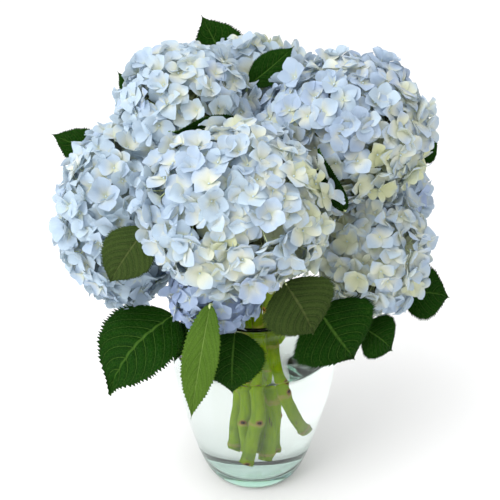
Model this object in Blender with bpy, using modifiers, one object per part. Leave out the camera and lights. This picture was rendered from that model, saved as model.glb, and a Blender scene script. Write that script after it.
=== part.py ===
"""A bouquet of cut hydrangeas standing in a clear glass vase of water.

Metres, +Z up. The vase stands on z = 0 with its axis on Z, and the front of the
bouquet faces -Y. Every mophead, stem and leaf is one closed solid of its own.
"""

import math

import bmesh
import bpy
from mathutils import Vector, noise

# ---------------------------------------------------------------- dimensions

TURN_STEPS = 48  # faces round the vase and the water
GLASS_WALL = 0.0024
BASE_GLASS = 0.012  # the thick bottom of the vase
WATER_GAP = 0.0004  # between the water and the glass
WATER_LEVEL = 0.147

# outer side of the vase, from the lip down to the foot: (radius, height)
VASE_OUTSIDE = (
    (0.0535, 0.1965),
    (0.0518, 0.1920),
    (0.0480, 0.1860),
    (0.0468, 0.1810),
    (0.0485, 0.1755),
    (0.0560, 0.1700),
    (0.0668, 0.1630),
    (0.0745, 0.1530),
    (0.0788, 0.1400),
    (0.0796, 0.1270),
    (0.0782, 0.1130),
    (0.0745, 0.0930),
    (0.0690, 0.0700),
    (0.0628, 0.0460),
    (0.0574, 0.0270),
    (0.0530, 0.0150),
    (0.0490, 0.0065),
    (0.0452, 0.0020),
    (0.0405, 0.0000),
)
# inside of the thick bottom, from the axis out to the wall
VASE_INSIDE_FLOOR = ((0.0, BASE_GLASS), (0.0250, 0.0125), (0.0400, 0.0160))
FIRST_WALL_RING = 14  # the ring of VASE_OUTSIDE that the inside wall starts from

# mopheads: centre, then half-sizes along X, Y and Z
HEADS = {
    "bloom_front": ((-0.015, -0.082, 0.333), (0.077, 0.070, 0.071)),
    "bloom_upper_left": ((-0.059, 0.015, 0.382), (0.057, 0.058, 0.054)),
    "bloom_upper_right": ((0.078, 0.002, 0.367), (0.074, 0.066, 0.067)),
    "bloom_lower_right": ((0.109, -0.018, 0.262), (0.046, 0.056, 0.060)),
    "bloom_left": ((-0.121, -0.005, 0.289), (0.054, 0.068, 0.086)),
    "bloom_low_front": ((-0.0345, -0.065, 0.247), (0.0385, 0.038, 0.035)),
    "bloom_top_back": ((-0.004, 0.083, 0.371), (0.058, 0.054, 0.052)),
    "bloom_back_right": ((0.116, 0.052, 0.282), (0.044, 0.050, 0.050)),
    "bloom_back_left": ((-0.060, 0.096, 0.288), (0.062, 0.054, 0.062)),
}
HEAD_GAP = 0.0044  # clear space kept between two neighbouring mopheads
HEAD_RINGS = 12
HEAD_SEGMENTS = 20
LUMP_HEIGHT = 0.035  # share of the radius that the florets swell in and out
LUMP_SIZE = 0.030

# stems: radius, then points from the slanted cut end up into the mophead
STEMS = {
    "stem_front": (0.0056, (
        (0.0480, -0.0340, 0.068), (0.0390, -0.0400, 0.085), (0.0310, -0.0440, 0.106),
        (0.0240, -0.0485, 0.131), (0.0150, -0.0345, 0.183), (0.0130, -0.0400, 0.222),
        (0.0110, -0.0510, 0.258), (0.0000, -0.0680, 0.298))),
    "stem_low_front": (0.0056, (
        (-0.0060, -0.0230, 0.029), (-0.0010, -0.0260, 0.068), (0.0028, -0.0270, 0.108),
        (-0.0120, -0.0300, 0.180), (-0.0190, -0.0420, 0.208), (-0.0250, -0.0560, 0.236))),
    "stem_upper_right": (0.0054, (
        (0.0075, -0.0060, 0.028), (0.0125, -0.0075, 0.066), (0.0130, -0.0075, 0.107),
        (0.0025, -0.0010, 0.180), (0.0130, 0.0020, 0.238), (0.0450, 0.0020, 0.305),
        (0.0620, 0.0010, 0.340))),
    "stem_lower_right": (0.0050, (
        (0.0030, 0.0070, 0.034), (0.0065, 0.0100, 0.095), (0.0160, 0.0085, 0.130),
        (0.0235, 0.0020, 0.156), (0.0290, -0.0040, 0.182), (0.0350, -0.0080, 0.202),
        (0.0530, -0.0110, 0.218), (0.0880, -0.0140, 0.236))),
    "stem_left": (0.0050, (
        (-0.0040, -0.0110, 0.042), (-0.0068, -0.0140, 0.080), (-0.0065, -0.0145, 0.107),
        (-0.0230, -0.0090, 0.158), (-0.0310, -0.0060, 0.184), (-0.0360, -0.0060, 0.203),
        (-0.0540, -0.0060, 0.226), (-0.0900, -0.0060, 0.256))),
    "stem_upper_left": (0.0042, (
        (-0.0137, -0.0078, 0.043), (-0.0122, -0.0040, 0.080), (-0.0080, -0.0010, 0.115),
        (-0.0100, -0.0020, 0.180), (-0.0150, 0.0000, 0.240), (-0.0350, 0.0070, 0.306),
        (-0.0490, 0.0110, 0.346))),
    "stem_top_back": (0.0044, (
        (0.0000, 0.0200, 0.030), (0.0000, 0.0220, 0.107), (-0.0060, 0.0220, 0.180),
        (-0.0060, 0.0290, 0.250), (-0.0060, 0.0490, 0.304), (-0.0050, 0.0700, 0.338))),
    "stem_back_right": (0.0046, (
        (0.0105, 0.0180, 0.030), (0.0120, 0.0220, 0.107), (0.0150, 0.0290, 0.180),
        (0.0300, 0.0370, 0.208), (0.0600, 0.0440, 0.238), (0.0950, 0.0490, 0.264))),
    "stem_back_left": (0.0044, (
        (-0.0090, 0.0080, 0.044), (-0.0110, 0.0120, 0.107), (-0.0220, 0.0200, 0.180),
        (-0.0340, 0.0370, 0.216), (-0.0530, 0.0700, 0.250))),
}
STEM_GAP = 0.0004  # round a stem, where it stands in a mophead or in the water
STEM_CUT_SLOPE = 0.45  # how far the cut end leans off square
STEM_SAMPLES = 14
STEM_SIDES_RESOLUTION = 3

# leaves: foot of the blade, tip, full width, which way the face looks, and
# how far the middle of the blade bows out along that direction
LEAVES = {
    "leaf_top_back": (
        (-0.019, 0.143, 0.371), (-0.051, 0.148, 0.428), 0.058, (-0.1, -0.9, 0.5), 0.004),
    "leaf_between_upper": (
        (-0.0064, -0.0253, 0.3850), (-0.0699, -0.0590, 0.3918), 0.034,
        (0.390, -0.822, -0.415), 0.0),
    "leaf_far_left": (
        (-0.138, 0.060, 0.317), (-0.190, 0.058, 0.342), 0.040, (-0.3, -0.8, 0.5), 0.004),
    "leaf_tip_back_left": (
        (-0.103, 0.076, 0.360), (-0.128, 0.084, 0.394), 0.024, (-0.2, -0.8, 0.5), 0.002),
    "leaf_top_middle": (
        (-0.004, 0.031, 0.401), (0.035, 0.043, 0.432), 0.030, (0.15, -0.85, 0.5), 0.003),
    "leaf_front_right": (
        (0.0740, -0.0745, 0.3285), (0.0504, -0.0690, 0.3815), 0.034,
        (-0.712, -0.643, -0.283), 0.0),
    "leaf_far_right": (
        (0.1500, 0.0520, 0.3230), (0.1715, 0.0500, 0.3390), 0.032, (0.3, -0.8, 0.5), 0.002),
    "leaf_left_inner": (
        (-0.0910, -0.0790, 0.3148), (-0.1248, -0.0830, 0.2627), 0.048, (-0.10, -0.95, 0.20), 0.004),
    "leaf_low_left": (
        (-0.0733, -0.0570, 0.2147), (-0.1302, -0.1060, 0.1645), 0.096,
        (-0.45, -0.55, 0.75), 0.010),
    "leaf_low_shadow": (
        (-0.054, -0.056, 0.214), (-0.072, -0.088, 0.184), 0.024, (-0.35, -0.65, 0.65), 0.003),
    "leaf_pale_narrow": (
        (-0.0375, -0.106, 0.256), (-0.056, -0.126, 0.150), 0.034, (-0.15, -0.90, 0.40), 0.006),
    "leaf_low_middle": (
        (-0.0172, -0.0820, 0.2130), (-0.0198, -0.1120, 0.1678), 0.062, (-0.05, -0.75, 0.65), 0.008),
    "leaf_olive_front": (
        (0.0250, -0.1100, 0.2800), (0.0503, -0.1230, 0.2369), 0.072, (0.30, -0.85, 0.45), 0.006),
    "leaf_low_right": (
        (0.0557, -0.0740, 0.2318), (0.0893, -0.0940, 0.1914), 0.090, (0.10, -0.75, 0.62), 0.008),
    "leaf_low_right_back": (
        (0.0980, -0.0600, 0.2030), (0.1258, -0.0670, 0.1830), 0.050, (0.30, -0.65, 0.70), 0.006),
    "leaf_right_outer": (
        (0.1380, -0.0120, 0.2100), (0.1834, -0.0150, 0.2085), 0.060, (0.35, -0.60, 0.70), 0.006),
    "leaf_back_low_left": (
        (-0.0550, 0.0850, 0.2120), (-0.0880, 0.1300, 0.1820), 0.064, (-0.30, 0.65, 0.70), 0.006),
    "leaf_back_low_right": (
        (0.0280, 0.0850, 0.2450), (0.0600, 0.1250, 0.2000), 0.058, (0.25, 0.75, 0.60), 0.006),
    "leaf_back_middle": (
        (0.0420, 0.0760, 0.2640), (0.0500, 0.1060, 0.3270), 0.046, (0.25, 0.95, -0.20), 0.004),
}
LEAF_THICKNESS = 0.0008
LEAF_WIDEST = 0.42  # where along the blade it is widest
LEAF_FOLD = 0.08  # how far the two halves fold up along the midrib
LEAF_TIP_WIDTH = 0.0016
LEAF_ALONG = 8
LEAF_ACROSS = 4

# colour, roughness, metallic, transmission
FINISHES = {
    "glass": ((0.86, 0.95, 0.92), 0.03, 0.0, 1.0),
    "water": ((0.90, 0.97, 0.97), 0.02, 0.0, 1.0),
    "blue_petal": ((0.62, 0.73, 0.87), 0.65, 0.0, 0.0),
    "cream_petal": ((0.78, 0.80, 0.74), 0.65, 0.0, 0.0),
    "stem_green": ((0.30, 0.46, 0.11), 0.50, 0.0, 0.0),
    "leaf_green": ((0.05, 0.17, 0.04), 0.40, 0.0, 0.0),
    "leaf_olive": ((0.16, 0.22, 0.10), 0.50, 0.0, 0.0),
    "leaf_pale": ((0.18, 0.34, 0.10), 0.45, 0.0, 0.0),
}
CREAM_HEADS = ("bloom_lower_right",)
LEAF_FINISH = {"leaf_olive_front": "leaf_olive", "leaf_left_inner": "leaf_olive",
               "leaf_pale_narrow": "leaf_pale"}


# ------------------------------------------------------------------- helpers

def clear_scene():
    for ob in list(bpy.data.objects):
        bpy.data.objects.remove(ob, do_unlink=True)


def make_collection(name):
    collection = bpy.data.collections.new(name)
    bpy.context.scene.collection.children.link(collection)
    return collection


def make_material(name):
    colour, roughness, metallic, transmission = FINISHES[name]
    material = bpy.data.materials.get(name) or bpy.data.materials.new(name)
    material.use_nodes = True
    shader = material.node_tree.nodes["Principled BSDF"]
    shader.inputs["Base Color"].default_value = (*colour, 1.0)
    shader.inputs["Roughness"].default_value = roughness
    shader.inputs["Metallic"].default_value = metallic
    shader.inputs["Transmission Weight"].default_value = transmission
    material.diffuse_color = (*colour, 1.0)
    return material


def mesh_object(name, bm, collection, finish=None):
    """Puts a bmesh into the scene as a named object, shaded smooth."""
    for face in bm.faces:
        face.smooth = True
    mesh = bpy.data.meshes.new(name)
    bm.to_mesh(mesh)
    bm.free()
    ob = bpy.data.objects.new(name, mesh)
    collection.objects.link(ob)
    if finish:
        mesh.materials.append(make_material(finish))
    return ob


def turned(name, profile, collection, finish):
    """A profile of (radius, height) points turned round Z with a Screw modifier."""
    bm = bmesh.new()
    corners = [bm.verts.new((r, 0.0, z)) for r, z in profile]
    for a, b in zip(corners, corners[1:]):
        bm.edges.new((a, b))
    ob = mesh_object(name, bm, collection, finish)
    screw = ob.modifiers.new("turn", "SCREW")
    screw.axis = "Z"
    screw.steps = TURN_STEPS
    screw.render_steps = TURN_STEPS
    screw.use_merge_vertices = True
    screw.merge_threshold = 0.00005
    return ob


def cut(ob, cutter, name):
    boolean = ob.modifiers.new(name, "BOOLEAN")
    boolean.operation = "DIFFERENCE"
    boolean.solver = "EXACT"
    boolean.object = cutter


def smooth_route(points):
    """Even samples of a Catmull-Rom curve through the route's own points."""
    way = [Vector(p) for p in points]
    padded = [way[0] * 2 - way[1], *way, way[-1] * 2 - way[-2]]
    spans = len(way) - 1
    samples = []
    for k in range(STEM_SAMPLES + 1):
        place = spans * k / STEM_SAMPLES
        i = min(int(place), spans - 1)
        t = place - i
        a, b, c, d = padded[i:i + 4]
        samples.append(0.5 * (2 * b + (c - a) * t + (2 * a - 5 * b + 4 * c - d) * t * t
                              + (3 * b - a - 3 * c + d) * t ** 3))
    return samples


# -------------------------------------------------------------- vase, water

def inside_wall():
    """The vase's inner side as (radius, height) points, from the axis to the neck."""
    rings = [(r - GLASS_WALL, z) for r, z in reversed(VASE_OUTSIDE[1:FIRST_WALL_RING])]
    return [*VASE_INSIDE_FLOOR, *rings]


def build_vase(collection):
    lip = VASE_OUTSIDE[0]
    inner_lip = (lip[0] - GLASS_WALL * 0.6, lip[1] + 0.0006)
    profile = [*inside_wall(), inner_lip, *VASE_OUTSIDE, (0.0, 0.0)]
    return turned("vase", profile, collection, "glass")


def build_water(collection):
    profile = []
    last = inside_wall()[0]
    for r, z in inside_wall():
        if z > WATER_LEVEL:
            share = (WATER_LEVEL - last[1]) / (z - last[1])
            r = last[0] + (r - last[0]) * share
            profile.append((r - WATER_GAP, WATER_LEVEL))
            break
        floor = z < VASE_INSIDE_FLOOR[-1][1]
        profile.append((max(0.0, r - WATER_GAP), z + (WATER_GAP if floor else 0.0)))
        last = (r, z)
    profile.append((0.0, WATER_LEVEL))
    return turned("water", list(reversed(profile)), collection, "water")


# ------------------------------------------------------------------- stems

def stem_mesh(name, collection, grow, finish=None):
    """A stem swept along its route, cut slanting at its foot. grow fattens it all round."""
    radius, route = STEMS[name]
    samples = smooth_route(route)
    samples[0] += (samples[0] - samples[1]).normalized() * (radius + grow)
    samples[-1] += (samples[-1] - samples[-2]).normalized() * grow
    curve = bpy.data.curves.new(name + "_route", "CURVE")
    curve.dimensions = "3D"
    curve.bevel_depth = radius + grow
    curve.bevel_resolution = STEM_SIDES_RESOLUTION
    curve.use_fill_caps = True
    spline = curve.splines.new("POLY")
    spline.points.add(len(samples) - 1)
    for point, place in zip(spline.points, samples):
        point.co = (*place, 1.0)
    sweep = bpy.data.objects.new(name + "_route", curve)
    collection.objects.link(sweep)
    bpy.context.view_layer.update()
    swept = bpy.data.meshes.new_from_object(sweep)
    bpy.data.objects.remove(sweep, do_unlink=True)
    bm = bmesh.new()
    bm.from_mesh(swept)
    bpy.data.meshes.remove(swept)
    bmesh.ops.remove_doubles(bm, verts=bm.verts, dist=0.00001)
    along = (Vector(route[1]) - Vector(route[0])).normalized()
    slant = (along + Vector((STEM_CUT_SLOPE, 0.2, 0.0))).normalized()
    whole = bm.verts[:] + bm.edges[:] + bm.faces[:]
    place = Vector(route[0]) - slant * grow
    bmesh.ops.bisect_plane(bm, geom=whole, plane_co=place, plane_no=-slant,
                           clear_outer=True, dist=0.00002)
    rim = [e for e in bm.edges if e.is_boundary]
    bmesh.ops.holes_fill(bm, edges=rim)
    bmesh.ops.recalc_face_normals(bm, faces=bm.faces)
    return mesh_object(name if finish else name + "_room", bm, collection, finish)


def build_stems(collection, cutters):
    rooms = {}
    for name in STEMS:
        stem_mesh(name, collection, 0.0, "stem_green")
        room = stem_mesh(name, cutters, STEM_GAP)
        room.hide_render = True
        room.display_type = "WIRE"
        rooms[name] = room
    return rooms


# ------------------------------------------------------------------- blooms

def reach(sizes, direction):
    """How far an ellipsoid's surface is from its centre along a unit direction."""
    return 1.0 / math.sqrt(sum((d / s) ** 2 for d, s in zip(direction, sizes)))


def build_head(name, collection):
    """A mophead: a lumpy ellipsoid, flattened where it presses on its neighbours."""
    centre, sizes = HEADS[name]
    centre = Vector(centre)
    bm = bmesh.new()
    bmesh.ops.create_uvsphere(bm, u_segments=HEAD_SEGMENTS, v_segments=HEAD_RINGS, radius=1.0)
    for v in bm.verts:
        place = Vector(a * b for a, b in zip(v.co, sizes))
        swell = noise.noise((centre + place) / LUMP_SIZE)
        v.co = centre + place * (1.0 + LUMP_HEIGHT * swell)
    for other, (other_centre, other_sizes) in HEADS.items():
        if other == name:
            continue
        offset = Vector(other_centre) - centre
        away = offset.length
        side = offset / away
        mine, theirs = reach(sizes, side), reach(other_sizes, side)
        if mine + theirs + HEAD_GAP < away * 0.93:
            continue
        meet = centre + side * (away * mine / (mine + theirs) - HEAD_GAP / 2)
        whole = bm.verts[:] + bm.edges[:] + bm.faces[:]
        bmesh.ops.bisect_plane(bm, geom=whole, plane_co=meet, plane_no=side,
                               clear_outer=True, dist=0.0002)
        rim = [e for e in bm.edges if e.is_boundary]
        if rim:
            bmesh.ops.holes_fill(bm, edges=rim)
    bmesh.ops.recalc_face_normals(bm, faces=bm.faces)
    finish = "cream_petal" if name in CREAM_HEADS else "blue_petal"
    return mesh_object(name, bm, collection, finish)


# ------------------------------------------------------------------- leaves

def leaf_half_width(u):
    """Half the blade's width, as a share of the full width, at u from foot to tip."""
    if u < LEAF_WIDEST:
        return 0.5 * math.sin(math.pi / 2 * (u / LEAF_WIDEST)) ** 0.75
    rest = (u - LEAF_WIDEST) / (1.0 - LEAF_WIDEST)
    return 0.5 * math.cos(math.pi / 2 * rest) ** 0.9


def build_leaf(name, collection):
    """A pointed oval blade, bowed along its midrib and folded slightly up its length."""
    foot, tip, width, face_way, bow = LEAVES[name]
    foot, tip = Vector(foot), Vector(tip)
    along = (tip - foot).normalized()
    face = Vector(face_way)
    face = (face - along * face.dot(along)).normalized()
    side = along.cross(face)
    bm = bmesh.new()
    bmesh.ops.create_grid(bm, x_segments=LEAF_ALONG, y_segments=LEAF_ACROSS, size=1.0)
    for v in bm.verts:
        u, across = (v.co.x + 1.0) / 2.0, v.co.y
        half = max(LEAF_TIP_WIDTH / 2, width * leaf_half_width(u))
        rise = bow * math.sin(math.pi * u) + half * LEAF_FOLD * abs(across)
        v.co = foot.lerp(tip, u) + side * (half * across) + face * rise
    bmesh.ops.recalc_face_normals(bm, faces=bm.faces)
    ob = mesh_object(name, bm, collection, LEAF_FINISH.get(name, "leaf_green"))
    solid = ob.modifiers.new("blade", "SOLIDIFY")
    solid.thickness = LEAF_THICKNESS
    solid.offset = 0.0
    return ob


# --------------------------------------------------------------------- build

def build():
    clear_scene()
    bouquet = make_collection("hydrangeas_in_vase")
    cutters = make_collection("cutters")
    build_vase(bouquet)
    water = build_water(bouquet)
    rooms = build_stems(bouquet, cutters)
    for name in HEADS:
        head = build_head(name, bouquet)
        cut(head, rooms[name.replace("bloom", "stem")], "stem socket")
    for name, room in rooms.items():
        cut(water, room, name + " stands in the water")
    for name in LEAVES:
        build_leaf(name, bouquet)


build()
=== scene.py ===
# %% [markdown]
# # Hydrangeas in a glass vase
# Nine mopheads of pale blue and cream hydrangea stand in a clear vase of water, with dark green
# leaves between and below them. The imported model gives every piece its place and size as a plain
# solid. This lesson keeps those places and builds what the eye sees: petals, veined leaves,
# knotty stems, and glass with water behind it.

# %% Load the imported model
import math
import random

import bmesh
import bpy
from mathutils import Matrix, Vector, noise


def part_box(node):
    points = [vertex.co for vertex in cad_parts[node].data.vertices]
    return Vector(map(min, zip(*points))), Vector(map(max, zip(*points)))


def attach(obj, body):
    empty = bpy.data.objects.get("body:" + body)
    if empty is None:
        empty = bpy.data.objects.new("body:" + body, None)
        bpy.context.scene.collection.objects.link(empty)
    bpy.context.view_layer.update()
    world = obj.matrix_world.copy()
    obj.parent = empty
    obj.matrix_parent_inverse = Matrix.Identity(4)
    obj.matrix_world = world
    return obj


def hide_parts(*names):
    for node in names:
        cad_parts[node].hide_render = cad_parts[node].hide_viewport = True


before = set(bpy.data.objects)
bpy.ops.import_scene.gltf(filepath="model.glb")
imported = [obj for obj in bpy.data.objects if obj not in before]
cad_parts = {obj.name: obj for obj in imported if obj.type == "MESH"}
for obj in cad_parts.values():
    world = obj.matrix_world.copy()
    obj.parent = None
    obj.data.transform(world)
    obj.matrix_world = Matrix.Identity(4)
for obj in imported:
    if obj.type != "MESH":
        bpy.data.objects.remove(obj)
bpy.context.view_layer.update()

scene = bpy.context.scene
UP = Vector((0.0, 0.0, 1.0))

# %% [markdown]
# ## The camera
# It looks at the middle of the flowers from a little above, so that the rims of water and glass
# show as ellipses. It is made first, because every later choice is judged through it. A longish
# lens a metre away keeps the bouquet from bulging.

# %% Camera
vase_low, vase_high = (Vector(corner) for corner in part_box("vase"))
vase_middle = (vase_low + vase_high) / 2
LOOK_HEIGHT = 0.25
CAMERA_DISTANCE = 1.0
CAMERA_ELEVATION = math.radians(29)
LENS_MM = 77.4
SENSOR_MM = 36.0
LOOK_LEFT = 0.004

look_at = Vector((vase_middle.x - LOOK_LEFT, vase_middle.y, LOOK_HEIGHT))
toward_camera = Vector((0.0, -math.cos(CAMERA_ELEVATION), math.sin(CAMERA_ELEVATION)))
lens = bpy.data.cameras.new("camera")
lens.lens = LENS_MM
lens.sensor_width = SENSOR_MM
lens.clip_start = 0.01
camera = bpy.data.objects.new("camera", lens)
camera.location = look_at + toward_camera * CAMERA_DISTANCE
camera.rotation_euler = (-toward_camera).to_track_quat("-Z", "Y").to_euler()
scene.collection.objects.link(camera)
scene.camera = camera
print("camera at", [round(c, 3) for c in camera.location])

# %% [markdown]
# ## The light
# The light is the soft, even kind of a product table: a white surround, a broad lamp above, and a
# second one from the front left to model the petals. The plain view transform keeps pale blues
# pale and clean.

# %% Light
SURROUND_STRENGTH = 1.04
# name, place, size and watts
LAMPS = (("overhead lamp", (-0.65, -0.50, 1.60), 1.3, 14.5),
         ("front left lamp", (-1.25, -0.95, 0.95), 1.2, 12.0))

scene.view_settings.view_transform = "Standard"
surround = bpy.data.worlds.new("white surround")
scene.world = surround
surround.use_nodes = True
white_sky = surround.node_tree.nodes["Background"]
white_sky.inputs["Color"].default_value = (1.0, 1.0, 1.0, 1.0)
white_sky.inputs["Strength"].default_value = SURROUND_STRENGTH


def soft_lamp(name, place, size, watts):
    """A square area lamp at place, turned to face the flowers."""
    lamp = bpy.data.lights.new(name, "AREA")
    lamp.shape = "SQUARE"
    lamp.size = size
    lamp.energy = watts
    stand = bpy.data.objects.new(name, lamp)
    stand.location = place
    stand.rotation_euler = (look_at - Vector(place)).to_track_quat("-Z", "Y").to_euler()
    scene.collection.objects.link(stand)


for lamp_row in LAMPS:
    soft_lamp(*lamp_row)
print("lamps:", [row[0] for row in LAMPS])

# %% [markdown]
# ## Shader maths as plain expressions
# A material is a web of small nodes. Wiring them one at a time hides the idea, so one small class
# wraps a socket and lets a sum be written as a sum. `Finish` holds a material, and its `node`
# method adds any other kind of node.

# %% Shader helpers
class Signal:
    """An output socket that does maths: each operator adds one Math node."""

    def __init__(self, finish, socket):
        self.finish = finish
        self.socket = socket

    def math(self, operation, *others):
        inputs = dict(enumerate((self, *others)))
        return self.finish.node("Math", {"operation": operation}, inputs)

    def __add__(self, other):
        return self.math("ADD", other)

    __radd__ = __add__

    def __mul__(self, other):
        return self.math("MULTIPLY", other)

    __rmul__ = __mul__

    def __sub__(self, other):
        return self.math("SUBTRACT", other)

    def __rsub__(self, other):
        return self.finish.node("Math", {"operation": "SUBTRACT"}, {0: other, 1: self})

    def __truediv__(self, other):
        return self.math("DIVIDE", other)


class Finish:
    """A named material and the nodes that make it."""

    def __init__(self, name):
        self.material = bpy.data.materials.new(name)
        self.material.use_nodes = True
        self.tree = self.material.node_tree
        self.shader = self.tree.nodes["Principled BSDF"]
        self.output = self.tree.nodes["Material Output"]

    def feed(self, socket, value):
        if isinstance(value, Signal):
            self.tree.links.new(value.socket, socket)
        elif isinstance(value, tuple) and len(value) == 3 and socket.type == "RGBA":
            socket.default_value = (*value, 1.0)
        else:
            socket.default_value = value

    def node(self, kind, settings=None, inputs=None, out=0):
        node = self.tree.nodes.new("ShaderNode" + kind)
        for key, value in (settings or {}).items():
            setattr(node, key, value)
        for key, value in (inputs or {}).items():
            self.feed(node.inputs[key], value)
        return Signal(self, node.outputs[out])

    def blend(self, first, second, share):
        """Two colours mixed: sockets 6 and 7 are the colour pair of a Mix node."""
        return self.node("Mix", {"data_type": "RGBA"}, {0: share, 6: first, 7: second}, out=2)

    def place(self):
        """Object coordinates, the fourth output of a Texture Coordinate node."""
        return self.node("TexCoord", out=3)

    def speckle(self, scale, detail=3.0, where=None):
        """Noise from 0 to 1, whose grains are about 1/scale metres across."""
        return self.node("TexNoise", {}, {"Vector": where or self.place(), "Scale": scale,
                                          "Detail": detail})

    def split(self, vector):
        """The first two numbers of a vector, such as the two ways across a UV map."""
        return [self.node("SeparateXYZ", {}, {0: vector}, out=axis) for axis in range(2)]

    def fade(self, value, low, high):
        """0 below low, 1 above high, smooth between."""
        return self.node("MapRange", {"interpolation_type": "SMOOTHSTEP"},
                         {"Value": value, "From Min": low, "From Max": high})

    def attribute(self, name):
        """A number written on the mesh, the third output of an Attribute node."""
        return self.node("Attribute", {"attribute_name": name}, out=2)

    def surface(self, **inputs):
        """Feeds the shader's sockets, whose names are written as base_color and so on."""
        for key, value in inputs.items():
            socket_name = key.replace("_", " ").title().replace("Ior", "IOR")
            self.feed(self.shader.inputs[socket_name], value)

    def relief(self, height, strength, distance):
        bump = self.node("Bump", {}, {"Height": height, "Strength": strength,
                                      "Distance": distance})
        self.feed(self.shader.inputs["Normal"], bump)


print("shader helpers ready")

# %% [markdown]
# ## The floor
# One big pale sheet under the vase catches the soft shadow. A flat grid is enough, with the
# faintest mottling in its colour.

# %% Floor
FLOOR_HALF = 4.0
FLOOR_DROP = 0.0004


def make_floor():
    bm = bmesh.new()
    bmesh.ops.create_grid(bm, x_segments=1, y_segments=1, size=FLOOR_HALF)
    bmesh.ops.translate(bm, verts=bm.verts, vec=(0.0, 0.0, vase_low.z - FLOOR_DROP))
    mesh = bpy.data.meshes.new("floor")
    bm.to_mesh(mesh)
    bm.free()
    floor = bpy.data.objects.new("floor", mesh)
    scene.collection.objects.link(floor)
    paper = Finish("pale floor")
    cloud = paper.speckle(3.0)
    paper.surface(base_color=paper.blend((0.95, 0.95, 0.95), (0.97, 0.97, 0.97), cloud),
                  roughness=0.6 + 0.1 * cloud)
    mesh.materials.append(paper.material)


make_floor()
print("floor at height", round(vase_low.z - FLOOR_DROP, 4))

# %% [markdown]
# ## Putting a piece into the scene
# Every finished mesh goes through one door: it becomes an object at the origin, shaded smooth,
# takes its materials, rides on the part's only body, and hides the plain solid it stands for.

# %% Adding pieces
def add_piece(name, bm, finishes, node):
    for face in bm.faces:
        face.smooth = True
    mesh = bpy.data.meshes.new(name)
    bm.to_mesh(mesh)
    bm.free()
    piece = bpy.data.objects.new(name, mesh)
    scene.collection.objects.link(piece)
    for finish in finishes:
        mesh.materials.append(finish.material)
    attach(piece, "root")
    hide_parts(node)
    return piece


def smooth_route(points, count):
    """Even samples of a Catmull-Rom curve through the points."""
    way = [Vector(p) for p in points]
    padded = [way[0] * 2 - way[1], *way, way[-1] * 2 - way[-2]]
    spans = len(way) - 1
    samples = []
    for k in range(count + 1):
        place = spans * k / count
        i = min(int(place), spans - 1)
        t = place - i
        a, b, c, d = padded[i:i + 4]
        samples.append(0.5 * (2 * b + (c - a) * t + (2 * a - 5 * b + 4 * c - d) * t * t
                              + (3 * b - a - 3 * c + d) * t ** 3))
    return samples


print("piece helpers ready")

# %% [markdown]
# ## The vase
# The real vase is thin blown glass with a thick bottom. A turned shape is a profile spun round
# its axis. The profile's few points are smoothed first, then `spin` with `use_merge` closes it
# into one skin with an outer and an inner side, which glass needs to bend light the right way.

# %% Vase profile and spin
GLASS_WALL = 0.0024
TURN_STEPS = 128
VASE_OUTSIDE = (
    (0.0535, 0.1965), (0.0518, 0.1920), (0.0480, 0.1860), (0.0468, 0.1810),
    (0.0485, 0.1755), (0.0560, 0.1700), (0.0668, 0.1630), (0.0745, 0.1530),
    (0.0788, 0.1400), (0.0796, 0.1270), (0.0782, 0.1130), (0.0745, 0.0930),
    (0.0690, 0.0700), (0.0628, 0.0460), (0.0574, 0.0270), (0.0530, 0.0150),
    (0.0490, 0.0065), (0.0452, 0.0020), (0.0405, 0.0000),
)
VASE_INSIDE_FLOOR = ((0.0, 0.0120), (0.0250, 0.0125), (0.0400, 0.0160))
WALL_RINGS = 14
LIP_ROUND = 0.0008
PROFILE_STEPS = 3
MERGE_DISTANCE = 0.00002


def inside_wall():
    """The inner side, from the middle of the bottom up: the outer rings less the wall."""
    rings = [(r - GLASS_WALL, z) for r, z in reversed(VASE_OUTSIDE[1:WALL_RINGS])]
    return [*VASE_INSIDE_FLOOR, *rings]


def smooth_profile(points):
    line = smooth_route([(r, 0.0, z) for r, z in points], PROFILE_STEPS * (len(points) - 1))
    return [(max(0.0, p.x), p.z) for p in line]


def spun(profile):
    """A bmesh of the profile turned once round Z, poles and seam merged, facing outwards."""
    bm = bmesh.new()
    corners = [bm.verts.new((r, 0.0, z)) for r, z in profile]
    edges = [bm.edges.new(pair) for pair in zip(corners, corners[1:])]
    bmesh.ops.spin(bm, geom=corners + edges, cent=(0, 0, 0), axis=(0, 0, 1), dvec=(0, 0, 0),
                   angle=math.tau, steps=TURN_STEPS, use_merge=True)
    bmesh.ops.remove_doubles(bm, verts=bm.verts, dist=MERGE_DISTANCE)
    bmesh.ops.recalc_face_normals(bm, faces=bm.faces)
    return bm


outer = smooth_profile(VASE_OUTSIDE)
inner = smooth_profile(inside_wall())
lip_radius, lip_height = VASE_OUTSIDE[0]
lip_top = (lip_radius - GLASS_WALL / 2, lip_height + LIP_ROUND)
vase_bm = spun([*inner, lip_top, *outer, (0.0, 0.0)])
print("vase faces:", len(vase_bm.faces))

# %% [markdown]
# ### Clear glass
# Glass has no colour of its own to speak of. What shows is the bending of light, reflections at
# grazing angles, and a green tint where light runs a long way through it, as in the thick
# bottom. A little absorption in the volume gives that tint by itself.

# %% Glass finish
GLASS_IOR = 1.48
GLASS_DEPTH_TINT = (0.50, 0.84, 0.72)
GLASS_DEPTH_DENSITY = 14.0
# Seen face on, clear glass and water mirror only a little of a white surround.
FACE_ON_MIRROR = (0.35, 0.35, 0.35)


def absorb(finish, colour, density):
    """Colour that deepens with the way light runs through the piece."""
    volume = finish.tree.nodes.new("ShaderNodeVolumeAbsorption")
    volume.inputs["Color"].default_value = (*colour, 1.0)
    volume.inputs["Density"].default_value = density
    finish.tree.links.new(volume.outputs[0], finish.output.inputs["Volume"])


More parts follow.
